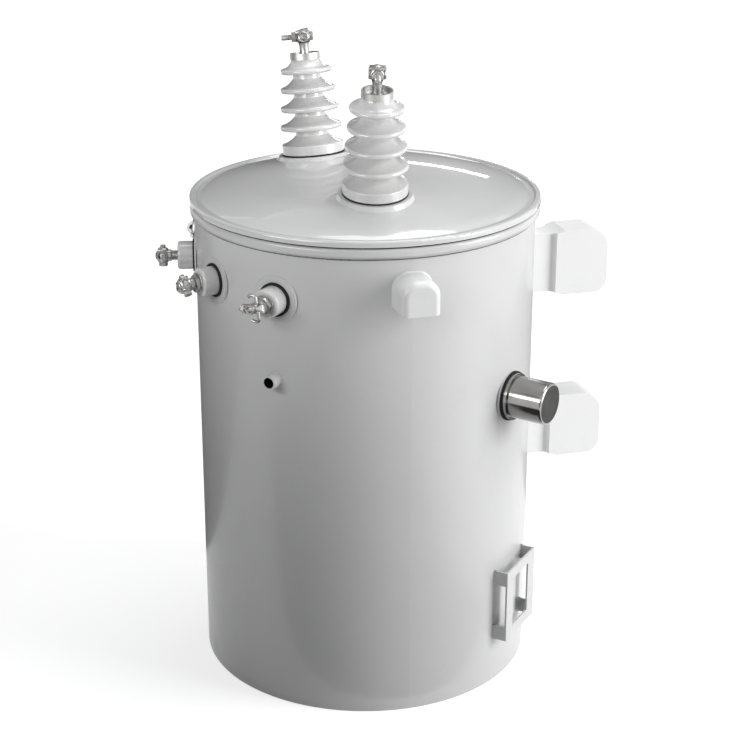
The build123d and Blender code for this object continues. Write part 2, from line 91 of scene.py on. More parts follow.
world = bpy.data.worlds.new("studio_air")
bpy.context.scene.world = world
world.use_nodes = True
air = world.node_tree.nodes
air_links = world.node_tree.links
air.clear()
dim = air.new("ShaderNodeBackground")
dim.inputs["Color"].default_value = (0.95, 0.97, 1.0, 1)
dim.inputs["Strength"].default_value = air_strength
white = air.new("ShaderNodeBackground")
white.inputs["Color"].default_value = (1, 1, 1, 1)
white.inputs["Strength"].default_value = 1.0
air_mix = air.new("ShaderNodeMixShader")
air_links.new(seen_share(world.node_tree), air_mix.inputs[0])
air_links.new(dim.outputs[0], air_mix.inputs[1])
air_links.new(white.outputs[0], air_mix.inputs[2])
air_links.new(air_mix.outputs[0], air.new("ShaderNodeOutputWorld").inputs[0])

# Floor. One sheet of matt paper, grey enough under the lamps to keep the object's shadow. It
# glows where it is seen, more so farther out, and runs up into a white backdrop all round.
paper_near = 1.2
paper_far = 5.0
paper_near_glow = 0.70
paper_steps = 96
paper_bends = [(0.001, 0), (3.0, 0), (7.0, 0), (9.0, 0.3), (10.4, 1.2), (11.0, 3.0), (11.0, 7.0)]

floor_paper = bpy.data.materials.new("floor_paper")
floor_paper.use_nodes = True
paper = floor_paper.node_tree.nodes
paper_links = floor_paper.node_tree.links
paper_surface = paper["Principled BSDF"]
paper_surface.inputs["Base Color"].default_value = (0.50, 0.50, 0.50, 1)
paper_surface.inputs["Roughness"].default_value = 0.9
paper_surface.inputs["Emission Color"].default_value = (1, 1, 1, 1)
paper_reach = paper.new("ShaderNodeVectorMath")
paper_reach.operation = "LENGTH"
paper_links.new(paper.new("ShaderNodeTexCoord").outputs["Object"], paper_reach.inputs[0])
paper_whiter = paper.new("ShaderNodeMapRange")
paper_whiter.inputs["From Min"].default_value = paper_near
paper_whiter.inputs["From Max"].default_value = paper_far
paper_whiter.inputs["To Min"].default_value = paper_near_glow
paper_whiter.inputs["To Max"].default_value = 1.0
paper_links.new(paper_reach.outputs["Value"], paper_whiter.inputs["Value"])
paper_glow = paper.new("ShaderNodeMath")
paper_glow.operation = "MULTIPLY"
paper_links.new(seen_share(floor_paper.node_tree), paper_glow.inputs[0])
paper_links.new(paper_whiter.outputs["Result"], paper_glow.inputs[1])
paper_links.new(paper_glow.outputs[0], paper_surface.inputs["Emission Strength"])

floor_mesh = bpy.data.meshes.new("floor")
floor_form = bmesh.new()
paper_rows = []
for reach, height in paper_bends:
    paper_rows.append([
        floor_form.verts.new((
            reach * math.cos(math.tau * k / paper_steps),
            reach * math.sin(math.tau * k / paper_steps),
            height,
        ))
        for k in range(paper_steps)
    ])
for low, high in zip(paper_rows, paper_rows[1:]):
    for k in range(paper_steps):
        following = (k + 1) % paper_steps
        floor_form.faces.new((low[k], low[following], high[following], high[k]))
floor_form.to_mesh(floor_mesh)
floor_form.free()
floor_mesh.shade_smooth()
floor_mesh.materials.append(floor_paper)
floor = bpy.data.objects.new("floor", floor_mesh)
bpy.context.scene.collection.objects.link(floor)

# Studio cards. Dark and grey boards stand outside the picture and only show as soft shapes in
# polished metal and gloss paint, as black cards do in a photographer's studio.


def studio_card(name, place, aim, width, height, tone):
    board = bpy.data.materials.new(name)
    board.use_nodes = True
    surface = board.node_tree.nodes["Principled BSDF"]
    surface.inputs["Base Color"].default_value = (0.02, 0.02, 0.02, 1)
    surface.inputs["Roughness"].default_value = 0.9
    surface.inputs["Emission Color"].default_value = (1, 1, 1, 1)
    surface.inputs["Emission Strength"].default_value = tone
    across, up = width / 2, height / 2
    mesh = bpy.data.meshes.new(name)
    mesh.from_pydata(
        [(-across, -up, 0), (across, -up, 0), (across, up, 0), (-across, up, 0)], [], [(0, 1, 2, 3)]
    )
    mesh.materials.append(board)
    card = bpy.data.objects.new(name, mesh)
    card.location = place
    card.rotation_euler = (Vector(aim) - Vector(place)).to_track_quat("-Z", "Y").to_euler()
    for ray in ("camera", "diffuse", "shadow", "transmission", "volume_scatter"):
        setattr(card, "visible_" + ray, False)
    bpy.context.scene.collection.objects.link(card)


studio_card("left_card", (-0.9, -3.2, 0.9), (0, 0, 0.5), 3.6, 3.4, 0.02)
studio_card("front_card", (3.6, -1.9, 1.4), (0, 0, 0.6), 2.6, 2.4, 0.02)
studio_card("back_card", (-5.0, 1.3, 2.3), (0, 0, 0.8), 8.0, 4.4, 0.10)
studio_card("overhead_card", (-1.6, 0.5, 4.8), (-1.6, 0.5, 0), 7.0, 7.0, 0.30)
studio_card("floor_card_back", (-1.45, 0.1, 0.012), (-1.45, 0.1, 3), 2.2, 3.8, 0.02)
studio_card("floor_card_right", (0.10, 1.35, 0.014), (0.10, 1.35, 3), 1.0, 0.9, 0.22)
studio_card("floor_card_front", (0.85, -0.45, 0.016), (0.85, -0.45, 3), 1.15, 1.7, 0.02)

# Tank. A rolled and welded sheet-steel cylinder with a flat bottom and a rounded band round its
# top, sprayed all over in a light grey gloss enamel that shows a fine orange peel and the
# slight unevenness of the rolled sheet.
tank_r = 0.267
tank_tone = (0.545, 0.545, 0.545)


def nodes_of(name):
    material = bpy.data.materials.new(name)
    material.use_nodes = True
    tree = material.node_tree
    return material, tree.nodes, tree.links, tree.nodes["Principled BSDF"]


def noise_at(tree_nodes, tree_links, source, scale, detail=2.0, roughness=0.5):
    cloud = tree_nodes.new("ShaderNodeTexNoise")
    cloud.inputs["Scale"].default_value = scale
    cloud.inputs["Detail"].default_value = detail
    cloud.inputs["Roughness"].default_value = roughness
    tree_links.new(source, cloud.inputs["Vector"])
    return cloud.outputs["Fac"]


def spread(tree_nodes, tree_links, source, low, high, start=0.3, stop=0.7):
    ranged = tree_nodes.new("ShaderNodeMapRange")
    ranged.inputs["From Min"].default_value = start
    ranged.inputs["From Max"].default_value = stop
    ranged.inputs["To Min"].default_value = low
    ranged.inputs["To Max"].default_value = high
    tree_links.new(source, ranged.inputs["Value"])
    return ranged.outputs["Result"]


def blend_colour(tree_nodes, tree_links, share, first, second):
    mixed = tree_nodes.new("ShaderNodeMix")
    mixed.data_type = "RGBA"
    tree_links.new(share, mixed.inputs["Factor"])
    for socket, value in ((mixed.inputs[6], first), (mixed.inputs[7], second)):
        if isinstance(value, bpy.types.NodeSocket):
            tree_links.new(value, socket)
        else:
            socket.default_value = (*value, 1)
    return mixed.outputs[2]


def bump_from(tree_nodes, tree_links, height, strength, distance, under=None):
    bump = tree_nodes.new("ShaderNodeBump")
    bump.inputs["Strength"].default_value = strength
    bump.inputs["Distance"].default_value = distance
    tree_links.new(height, bump.inputs["Height"])
    if under is not None:
        tree_links.new(under, bump.inputs["Normal"])
    return bump.outputs["Normal"]


def enamel(name, tone, roughness, coat, peel=0.25, coat_roughness=0.12):
    """Sprayed enamel: a slow drift in tone, faint handling marks, orange peel and sheet waviness."""
    material, made, joined, surface = nodes_of(name)
    where = made.new("ShaderNodeTexCoord").outputs["Object"]
    drift = noise_at(made, joined, where, 2.2, 3)
    marks = noise_at(made, joined, where, 26, 6, 0.7)
    speck = noise_at(made, joined, where, 420, 2)
    base = blend_colour(
        made, joined, spread(made, joined, drift, 0, 1),
        [t * 0.965 for t in tone], [t * 1.03 for t in tone],
    )
    marked = blend_colour(
        made, joined, spread(made, joined, marks, 0, 0.35, 0.58, 0.78),
        base, [t * 0.88 for t in tone],
    )
    final = blend_colour(
        made, joined, spread(made, joined, speck, 0, 0.5, 0.60, 0.75),
        marked, [t * 0.93 for t in tone],
    )
    joined.new(final, surface.inputs["Base Color"])
    joined.new(
        spread(made, joined, marks, roughness - 0.03, roughness + 0.09), surface.inputs["Roughness"]
    )
    surface.inputs["Coat Weight"].default_value = coat
    surface.inputs["Coat Roughness"].default_value = coat_roughness
    wave = bump_from(made, joined, noise_at(made, joined, where, 5, 2), 0.25, 0.004)
    joined.new(
        bump_from(made, joined, noise_at(made, joined, where, 210, 2), peel, 0.0002, wave),
        surface.inputs["Normal"],
    )
    return material


tank_paint = enamel("tank_enamel", tank_tone, 0.36, 0.30)
for node in ("tank_wall", "tank_bottom", "tank_rim", "pipe_stub", "nameplate_bracket"):
    nodes[node].data.materials[0] = tank_paint

# Seam under the rim band. The band stands out over the wall, and a dark ring is painted into the
# narrow corner between the two all the way round: painted shade for the shadow under the band.
rim_low_z = 0.749
seam_z = rim_low_z - 0.0006
seam_path_r = tank_r + 0.0004
seam_thick = 0.0016
seam_steps = 540
# Dark and light tones of the painted shade in the corner under the band.
shade_dark = (0.10, 0.10, 0.10)
shade_light = (0.20, 0.20, 0.20)

# This material is painted shade: a near-black tone that stands in for the shadow under the band.
rim_painted_shade, made, joined, surface = nodes_of("rim_painted_shade")
where = made.new("ShaderNodeTexCoord").outputs["Object"]
patchy = noise_at(made, joined, where, 30, 4, 0.6)
joined.new(
    blend_colour(made, joined, spread(made, joined, patchy, 0, 1), shade_dark, shade_light),
    surface.inputs["Base Color"],
)
joined.new(spread(made, joined, patchy, 0.55, 0.8), surface.inputs["Roughness"])
joined.new(bump_from(made, joined, patchy, 0.3, 0.0004), surface.inputs["Normal"])


def piece_from(name, form, material, crease=38):
    """A finished piece from a mesh form, smooth except at its edges, riding on the tank."""
    mesh = bpy.data.meshes.new(name)
    bmesh.ops.recalc_face_normals(form, faces=form.faces)
    form.to_mesh(mesh)
    form.free()
    mesh.shade_smooth()
    mesh.set_sharp_from_angle(angle=math.radians(crease))
    mesh.materials.append(material)
    made = bpy.data.objects.new(name, mesh)
    bpy.context.scene.collection.objects.link(made)
    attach(made, "root")
    return made


def bead(form, points, radius, closed, ripple=0.18, sides=8):
    """A weld bead along points, a little uneven, as a hand weld under paint is."""
    count = len(points)
    loops = []
    for k, point in enumerate(points):
        before = points[(k - 1) % count] if closed or k > 0 else point
        after = points[(k + 1) % count] if closed or k < count - 1 else point
        way = (after - before).normalized()
        out = Vector((point.x, point.y, 0)).normalized()
        side = way.cross(out).normalized()
        out = side.cross(way).normalized()
        thick = radius * (1 + ripple * noise.noise(point * 260) + ripple * 0.5 * math.sin(k * 1.9))
        loops.append([
            form.verts.new(
                point
                + side * thick * math.cos(math.tau * j / sides)
                + out * thick * math.sin(math.tau * j / sides)
            )
            for j in range(sides)
        ])
    pairs = list(zip(loops, loops[1:])) + ([(loops[-1], loops[0])] if closed else [])
    for low, high in pairs:
        for j in range(sides):
            form.faces.new((low[j], low[(j + 1) % sides], high[(j + 1) % sides], high[j]))
    if not closed:
        form.faces.new(loops[0])
        form.faces.new(list(reversed(loops[-1])))


# This bead is painted shade, a dark ring laid in the corner under the band.
rim_shade_ring = bmesh.new()
bead(
    rim_shade_ring,
    [
        Vector((
            seam_path_r * math.cos(math.tau * k / seam_steps),
            seam_path_r * math.sin(math.tau * k / seam_steps),
            seam_z,
        ))
        for k in range(seam_steps)
    ],
    seam_thick, True, 0.15,
)
piece_from("rim_shade_ring", rim_shade_ring, rim_painted_shade)

# Cover. A pressed steel dome inside a shallow groove and a rounded rim, in the same enamel but
# glossier, with two low round pads for the high-voltage bushings.
cover_tone = (0.55, 0.55, 0.55)
cover_paint = enamel("cover_enamel", cover_tone, 0.36, 0.9, 0.10, 0.045)
nodes["cover"].data.materials[0] = cover_paint

# Gaskets. Black rubber rings under the cover's rim, the porcelain and the tap changer, squeezed
# between the parts that they seal and a little dusty on the outside.
rubber_tone = (0.007, 0.007, 0.0075)


def rubber(name, tone, roughness):
    material, made, joined, surface = nodes_of(name)
    where = made.new("ShaderNodeTexCoord").outputs["Object"]
    dust = noise_at(made, joined, where, 35, 5, 0.65)
    dusty = [t * 2.6 for t in tone]
    colour = blend_colour(made, joined, spread(made, joined, dust, 0, 1, 0.35, 0.8), tone, dusty)
    joined.new(colour, surface.inputs["Base Color"])
    joined.new(
        spread(made, joined, dust, roughness - 0.08, roughness + 0.15), surface.inputs["Roughness"]
    )
    surface.inputs["Specular IOR Level"].default_value = 0.25
    joined.new(
        bump_from(made, joined, noise_at(made, joined, where, 700, 2), 0.3, 0.0002),
        surface.inputs["Normal"],
    )
    return material


black_rubber = rubber("black_rubber", rubber_tone, 0.70)
for node in nodes:
    if "gasket" in node:
        nodes[node].data.materials[0] = black_rubber

# Porcelain bushings. Pressed and fired electrical porcelain with a clear grey-white glaze, set
# on the rubber rings. The glaze runs a little thinner and darker on the shed edges.
glaze_tone = (0.60, 0.60, 0.595)


def glaze(name, tone):
    material, made, joined, surface = nodes_of(name)
    where = made.new("ShaderNodeTexCoord").outputs["Object"]
    drift = noise_at(made, joined, where, 14, 3)
    speck = noise_at(made, joined, where, 520, 1)
    base = blend_colour(
        made, joined, spread(made, joined, drift, 0, 1), [t * 0.95 for t in tone], [t * 1.03 for t in tone]
    )
    dotted = blend_colour(
        made, joined, spread(made, joined, speck, 0, 0.6, 0.70, 0.78), base, [t * 0.72 for t in tone]
    )
    edge = made.new("ShaderNodeNewGeometry").outputs["Pointiness"]
    thin = blend_colour(
        made, joined, spread(made, joined, edge, 0, 0.35, 0.52, 0.60), dotted,
        [tone[0] * 0.86, tone[1] * 0.85, tone[2] * 0.83],
    )
    joined.new(thin, surface.inputs["Base Color"])
    joined.new(spread(made, joined, drift, 0.20, 0.32), surface.inputs["Roughness"])
    surface.inputs["Coat Weight"].default_value = 0.5
    surface.inputs["Coat Roughness"].default_value = 0.08
    joined.new(
        bump_from(made, joined, noise_at(made, joined, where, 60, 3), 0.12, 0.0008),
        surface.inputs["Normal"],
    )
    return material


porcelain = glaze("porcelain_glaze", glaze_tone)
for node in nodes:
    if "bushing" in node:
        nodes[node].data.materials[0] = porcelain

# High-voltage terminals. A spun metal dish on each bushing holds a tinned post with an eye head.
# A bolt with a nut goes across the eye, and a saddle plate with a round cap lies over it.
cap_tone = (0.52, 0.52, 0.51)
tin_tone = (0.47, 0.465, 0.46)
dome_r = 0.862183
dome_top_z = 0.817
dome_centre_z = dome_top_z - dome_r
hv_lean_share = 0.86
hv_pad_h = 0.003
hv_gasket_t = 0.0025
hv_porcelain_h = 0.1484
dish_t = 0.003
dish_floor = hv_pad_h + hv_gasket_t + hv_porcelain_h + dish_t
post_h = 0.021
eye_h = 0.023
eye_mid = post_h + eye_h / 2
hv_bolt_r = 0.0044
hv_bolt_pitch = 0.0015
hv_nut_across = 0.0150
saddle_size = (0.0200, 0.0235, 0.0036)
# Side, place on the dome, direction of the cross bolt and tilt of the saddle
hv_sides = (("right", 0.1295, -0.019, -15, -6), ("left", -0.1295, -0.051, -105, 11))


def plated(name, tone, roughness, streak=0.12, scale=90):
    material, made, joined, surface = nodes_of(name)
    where = made.new("ShaderNodeTexCoord").outputs["Object"]
    cloud = noise_at(made, joined, where, scale, 5, 0.65)
    grain = noise_at(made, joined, where, scale * 9, 2)
    colour = blend_colour(
        made, joined, spread(made, joined, cloud, 0, 1),
        [t * (1 - streak) for t in tone], [t * 1.04 for t in tone],
    )
    spotted = blend_colour(
        made, joined, spread(made, joined, grain, 0, 0.4, 0.62, 0.75), colour, [t * 0.55 for t in tone]
    )
    joined.new(spotted, surface.inputs["Base Color"])
    surface.inputs["Metallic"].default_value = 1.0
    joined.new(
        spread(made, joined, cloud, roughness - 0.06, roughness + 0.12), surface.inputs["Roughness"]
    )
    joined.new(bump_from(made, joined, grain, 0.25, 0.00015), surface.inputs["Normal"])
    return material


cap_metal = plated("spun_cap_metal", cap_tone, 0.42, 0.12, 60)
tinned = plated("tinned_metal", tin_tone, 0.36, 0.35, 160)
for node in ("hv_cap_right", "hv_cap_left"):
    nodes[node].data.materials[0] = cap_metal


def loop_at(form, place, steps, radius_of, height_of):
    """One closed row of corners round z, at a radius and a height for each angle."""
    corners = []
    for k in range(steps):
        angle = math.tau * k / steps
        radius = radius_of(angle)
        corner = Vector((radius * math.cos(angle), radius * math.sin(angle), height_of(angle)))
        corners.append(form.verts.new(place @ corner))
    return corners


def skin(form, loops):
    """The faces between neighbouring rows."""
    for under, over in zip(loops, loops[1:]):
        for k in range(len(under)):
            following = (k + 1) % len(under)
            form.faces.new((under[k], under[following], over[following], over[k]))


def turned(form, profile, place=Matrix(), steps=40):
    """A turned solid from (radius, height) pairs, closed by a point at each end."""
    foot = form.verts.new(place @ Vector((0, 0, profile[0][1])))
    loops = [
        loop_at(form, place, steps, lambda a: radius, lambda a: height)
        for radius, height in profile[1:-1]
    ]
    tip = form.verts.new(place @ Vector((0, 0, profile[-1][1])))
    for k in range(steps):
        form.faces.new((foot, loops[0][(k + 1) % steps], loops[0][k]))
    skin(form, loops)
    for k in range(steps):
        form.faces.new((loops[-1][k], loops[-1][(k + 1) % steps], tip))


def ring(form, inner, outer, low, high, place=Matrix(), edge=0.0004, steps=40):
    """A flat ring or bush with broken edges."""
    profile = [
        (inner, low + edge), (inner + edge, low), (outer - edge, low), (outer, low + edge),
        (outer, high - edge), (outer - edge, high), (inner + edge, high), (inner, high - edge),
    ]
    loops = [
        loop_at(form, place, steps, lambda a: radius, lambda a: height)
        for radius, height in profile
    ]
    skin(form, loops + loops[:1])


def hexagon(form, across, low, high, place=Matrix(), steps=48):
    """A nut or bolt head, with the curved chamfers that a turned hexagon bar shows."""
    chamfer_r = across * 0.485
    sixth = math.pi / 3

    def reach(angle):
        return across / 2 / math.cos((angle + sixth / 2) % sixth - sixth / 2)

    def drop(angle):
        return max(reach(angle) - chamfer_r, 0) * 0.55

    loops = [
        loop_at(form, place, steps, lambda a: chamfer_r, lambda a: low),
        loop_at(form, place, steps, reach, lambda a: low + drop(a)),
        loop_at(form, place, steps, reach, lambda a: high - drop(a)),
        loop_at(form, place, steps, lambda a: chamfer_r, lambda a: high),
    ]
    skin(form, loops)
    form.faces.new(list(reversed(loops[0])))
    form.faces.new(loops[-1])


def threaded(form, radius, low, high, pitch, place=Matrix(), point=0.0, steps=24):
    """A rod with a real helical thread and a chamfered or pointed end."""
    depth = pitch * 0.52
    rows = max(int((high - low) / pitch * 5), 4)

    def thread_r(angle, height):
        turn = (height / pitch + angle / math.tau) % 1.0
        fade = min(1, (high - height) / (pitch * 1.2) + 0.15)
        return radius - depth * (1 - abs(turn * 2 - 1)) - depth * 0.8 * (1 - fade)

    loops = []
    for row in range(rows + 1):
        height = low + (high - low) * row / rows
        loops.append(loop_at(form, place, steps, lambda a: thread_r(a, height), lambda a: height))
    skin(form, loops)
    form.faces.new(list(reversed(loops[0])))
    if point:
        tip = form.verts.new(place @ Vector((0, 0, high + point)))
        for k in range(steps):
            form.faces.new((loops[-1][k], loops[-1][(k + 1) % steps], tip))
    else:
        form.faces.new(loops[-1])


def slab(form, size, place=Matrix(), edge=0.001, levels=2):
    """A flat plate or block with rounded edges."""
    made = bmesh.ops.create_cube(form, size=1.0)["verts"]
    for vert in made:
        vert.co = Vector((vert.co.x * size[0], vert.co.y * size[1], vert.co.z * size[2]))
    edges = list({side for vert in made for side in vert.link_edges})
    bevelled = bmesh.ops.bevel(
        form, geom=made + edges, offset=edge, segments=levels, profile=0.5, affect="EDGES"
    )
    moved = {vert for face in bevelled["faces"] for vert in face.verts} | {v for v in made if v.is_valid}
    bmesh.ops.transform(form, matrix=place, verts=list(moved))


def moved_by(x=0.0, y=0.0, z=0.0):
    return Matrix.Translation((x, y, z))


along_x = Matrix.Rotation(math.radians(90), 4, "Y")
along_y = Matrix.Rotation(math.radians(-90), 4, "X")


def dome_place(x, y, lift, turn):
    """A place on the leaning seat of a bushing: z up its axis and x towards its cross bolt."""
    along = math.sqrt(dome_r**2 - x**2 - y**2)
    out = Vector((x * hv_lean_share, y * hv_lean_share, along)).normalized()
    level = Vector((math.cos(math.radians(turn)), math.sin(math.radians(turn)), 0))
    bolt = (level - out * level.dot(out)).normalized()
    place = Matrix((bolt, out.cross(bolt), out)).transposed().to_4x4()
    place.translation = Vector((x, y, dome_centre_z + along)) + out * lift
    return place


for side, x, y, turn, tilt in hv_sides:
    place = dome_place(x, y, dish_floor, turn)
    post = bmesh.new()
    turned(
        post,
        [(0, 0), (0.0094, 0), (0.0098, 0.0006), (0.0098, 0.0020), (0.0090, 0.0027), (0.0077, 0.0033),
         (0.0074, 0.0042), (0.0074, 0.0185), (0.0080, 0.0205), (0.0086, 0.0225), (0, 0.0235)],
        place,
    )
    head = place @ moved_by(z=eye_mid)
    turned(
        post,
        [(0, -0.0108), (0.0078, -0.0108), (0.0096, -0.0092), (0.0100, -0.0060), (0.0100, 0.0060),
         (0.0094, 0.0090), (0.0076, 0.0102), (0, 0.0102)],
        head @ along_x,
    )
    ring(post, 0.0056, 0.0090, -0.0130, 0.0130, head @ along_y, 0.0014)
    slab(post, (0.0150, 0.0190, 0.0120), head @ moved_by(z=0.0025), 0.0030, 3)
    terminal = piece_from(f"hv_terminal_{side}_eye", post, tinned)
    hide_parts(f"hv_terminal_{side}")

    bolt = bmesh.new()
    bolt_place = place @ moved_by(z=eye_mid) @ along_x
    threaded(bolt, hv_bolt_r, 0.0020, 0.0345, hv_bolt_pitch, bolt_place)
    turned(bolt, [(0, -0.0125), (0.0040, -0.0125), (0.0040, 0.0030), (0, 0.0030)], bolt_place, 20)
    hexagon(bolt, 0.0130, -0.0155, -0.0108, bolt_place)
    ring(bolt, 0.0046, 0.0086, 0.0102, 0.0116, bolt_place, 0.0003)
    hexagon(bolt, hv_nut_across, 0.0116, 0.0185, bolt_place)
    screw = piece_from(f"hv_bolt_{side}_threaded", bolt, tinned, 32)
    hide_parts(f"hv_bolt_{side}")

    saddle = bmesh.new()
    tilted = Matrix.Rotation(math.radians(tilt), 4, "Y")
    slab(saddle, saddle_size, place @ moved_by(x=0.0015, z=eye_mid + 0.0088) @ tilted, 0.0008)
    turned(
        saddle,
        [(0, 0), (0.0062, 0), (0.0062, 0.0012), (0.0050, 0.0022), (0, 0.0024)],
        place @ moved_by(x=-0.0005, z=eye_mid + 0.0098) @ tilted, 24,
    )
    piece_from(f"hv_saddle_{side}", saddle, tinned)

# Low-voltage terminals. A threaded copper-alloy stud comes out of each short bushing through a
# flat washer and a nut, and carries a small tinned clamp with an eye for the wire and a screw.
# The third stud has neither, the first clamp is an open strap, and the fourth is a shallow one.
lv_angles = (-44.5, -73.0, -101.5, -130.0)
lv_turns = (100.0, 42.0, 8.0, 20.0)
lv_pad_out = 0.0012
lv_gasket_t = 0.003
lv_porcelain_l = 0.024
lv_end_r = tank_r + lv_pad_out + lv_gasket_t + lv_porcelain_l
lv_height = 0.677
lv_stud_r = 0.0080
lv_washer_r = 0.0155
lv_washer_t = 0.0025
lv_nut_across = 0.0240
lv_nut_t = 0.0060
lv_bare_stud = 3
lv_clamp_start = 0.0100


def wall_seat(angle, height, radius):
    """Where something sits on the wall: x runs along the wall, y up and z outwards."""
    out = Vector((math.cos(math.radians(angle)), math.sin(math.radians(angle)), 0))
    along = Vector((-out.y, out.x, 0))
    seat = Matrix((along, Vector((0, 0, 1)), out)).transposed().to_4x4()
    seat.translation = out * radius + Vector((0, 0, height))
    return seat


def strap_clamp(clamp, place, start):
    """An open strap with hooked ends under a long pointed screw."""
    turned(
        clamp,
        [(0, start), (0.0100, start), (0.0108, start + 0.001), (0.0108, start + 0.006),
         (0.0090, start + 0.008), (0, start + 0.008)],
        place,
    )
    hook = [(-0.0178, 0.0125), (-0.0196, 0.0095), (-0.0203, 0.0062), (-0.0196, 0.0030), (-0.0178, 0.0009)]
    strap = hook + [(-0.0152 + 0.0304 * k / 8, 0.0) for k in range(9)]
    strap += [(-across, up) for across, up in reversed(hook)]
    bead(
        clamp, [place @ Vector((across, up, start + 0.0100)) for across, up in strap],
        0.0025, False, 0, 12,
    )
    slab(clamp, (0.0130, 0.0040, 0.0130), place @ moved_by(y=0.0005, z=start + 0.0085), 0.0010)
    screw_at = place @ moved_by(z=start + 0.0110) @ along_y
    turned(
        clamp,
        [(0, 0.0), (0.0066, 0.0), (0.0072, 0.0010), (0.0072, 0.0150), (0.0060, 0.0170), (0, 0.0170)],
        screw_at,
    )
    ring(clamp, 0.0042, 0.0074, -0.0085, 0.0085, place @ moved_by(y=0.0085, z=start + 0.0110), 0.0010)
    threaded(clamp, 0.0050, 0.0120, 0.0280, 0.0016, screw_at, 0.0050)
    hexagon(clamp, 0.0130, 0.0195, 0.0252, screw_at)
    hexagon(clamp, 0.0118, -0.0130, -0.0070, screw_at)
    turned(clamp, [(0, -0.0100), (0.0048, -0.0100), (0.0048, 0.002), (0, 0.002)], screw_at, 24)


def eye_clamp(clamp, place, start):
    """A cast eye head with a screw through it, a domed end and a saddle at its side."""
    turned(
        clamp,
        [(0, start), (0.0085, start), (0.0092, start + 0.001), (0.0092, start + 0.006),
         (0, start + 0.007)],
        place,
    )
    slab(clamp, (0.0180, 0.0170, 0.0150), place @ moved_by(z=start + 0.0125), 0.0045, 4)
    ring(clamp, 0.0050, 0.0092, -0.0118, 0.0118, place @ moved_by(z=start + 0.0145) @ along_x, 0.0016)
    screw_at = place @ moved_by(z=start + 0.0130) @ along_y
    ring(clamp, 0.0044, 0.0084, -0.0110, 0.0118, screw_at, 0.0014)
    hexagon(clamp, 0.0118, -0.0168, -0.0108, screw_at)
    threaded(clamp, 0.0046, -0.0115, 0.0165, 0.0014, screw_at)
    turned(
        clamp,
        [(0, start + 0.0190), (0.0078, start + 0.0190), (0.0074, start + 0.0222),
         (0.0050, start + 0.0245), (0, start + 0.0252)],
        place, 32,
    )
    slab(clamp, (0.0235, 0.0034, 0.0120), place @ moved_by(y=0.0090, z=start + 0.0150), 0.0009)


def low_clamp(clamp, place, start):
    """A shallow eye with a screw across it."""
    ring(clamp, 0.0040, 0.0095, -0.0080, 0.0080, place @ moved_by(z=start + 0.0060) @ along_x, 0.0010)
    slab(clamp, (0.0160, 0.0200, 0.0070), place @ moved_by(z=start + 0.0040), 0.0018, 3)
    screw_at = place @ moved_by(z=start + 0.0060) @ along_y
    hexagon(clamp, 0.0104, -0.0168, -0.0112, screw_at)
    threaded(clamp, 0.0042, -0.0115, 0.0168, 0.0014, screw_at)


lv_clamp_forms = (strap_clamp, eye_clamp, eye_clamp, low_clamp)
for number, (angle, turn, clamp_form) in enumerate(zip(lv_angles, lv_turns, lv_clamp_forms), start=1):
    end = wall_seat(angle, lv_height, lv_end_r)
    stud = bmesh.new()
    if number != lv_bare_stud:
        ring(stud, lv_stud_r - 0.0005, lv_washer_r, 0.0, lv_washer_t, end, 0.0004)
        hexagon(
            stud, lv_nut_across, lv_washer_t, lv_washer_t + lv_nut_t,
            end @ Matrix.Rotation(math.radians(turn / 3), 4, "Z"),
        )
    threaded(stud, lv_stud_r, -0.001, 0.0170, 0.0020, end)
    made_stud = piece_from(f"lv_stud_{number}_threaded", stud, tinned, 32)
    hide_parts(f"lv_stud_{number}")

    clamp = bmesh.new()
    clamp_form(clamp, end @ Matrix.Rotation(math.radians(turn), 4, "Z"), lv_clamp_start)
    made_clamp = piece_from(f"lv_clamp_{number}_eye", clamp, tinned, 34)
    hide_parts(f"lv_clamp_{number}")

# Lifting lugs. Pressed steel hoods, open below, welded to the wall along their sides and round
# their arched top, and painted a little lighter than the tank.
lug_tone = (0.68, 0.68, 0.68)
lug_angles = {"right": 0, "left": 180}
lug_half_w = 0.029
lug_top_z = 0.727
lug_low_z = 0.675
lug_arch_r = 0.024
lug_weld_r = 0.0022

lug_paint = enamel("lug_enamel", lug_tone, 0.40, 0.25)
for node in ("lifting_lug_right", "lifting_lug_left"):
    nodes[node].data.materials[0] = lug_paint

lug_weld_gap = 0.001
lug_side_l = lug_top_z - lug_arch_r - lug_low_z
weld_low_z = lug_low_z + lug_weld_gap
lug_outline = [(-lug_half_w, weld_low_z)]
for k in range(12):
    lug_outline.append((-lug_half_w, weld_low_z + lug_side_l * (k + 1) / 12))
for side_x, first in ((-1, 180), (1, 90)):
    for k in range(1, 13):
        bend = math.radians(first - 90 * k / 12)
        lug_outline.append((
            side_x * (lug_half_w - lug_arch_r) + lug_arch_r * math.cos(bend),
            lug_top_z - lug_arch_r + lug_arch_r * math.sin(bend),
        ))
for k in range(12):
    lug_outline.append((lug_half_w, lug_top_z - lug_arch_r - (lug_side_l - lug_weld_gap) * (k + 1) / 12))


def on_wall(angle, across, height, lift=0.0003):
    """A point just proud of the wall, at a distance across from an angle and at a height."""
    turn = math.radians(angle) + math.asin(across / tank_r)
    return Vector(((tank_r + lift) * math.cos(turn), (tank_r + lift) * math.sin(turn), height))


for side, angle in lug_angles.items():
    weld = bmesh.new()
    bead(weld, [on_wall(angle, across, height) for across, height in lug_outline], lug_weld_r, False)
    piece_from(f"lug_weld_{side}", weld, lug_paint)

# Hangers. Two bent and welded plate brackets for the pole, one above the other at the back. Each
# has a neck welded to the wall up both sides and over the top, and a nearly white paint.
hanger_tone = (0.80, 0.80, 0.80)
hanger_heights = {"upper": 0.640, "lower": 0.35425}
neck_half_w = 0.021
neck_half_h = 0.0510
hanger_weld_r = 0.0026

hanger_paint = enamel("hanger_enamel", hanger_tone, 0.48, 0.15)
for node in ("hanger_upper", "hanger_lower"):
    nodes[node].data.materials[0] = hanger_paint

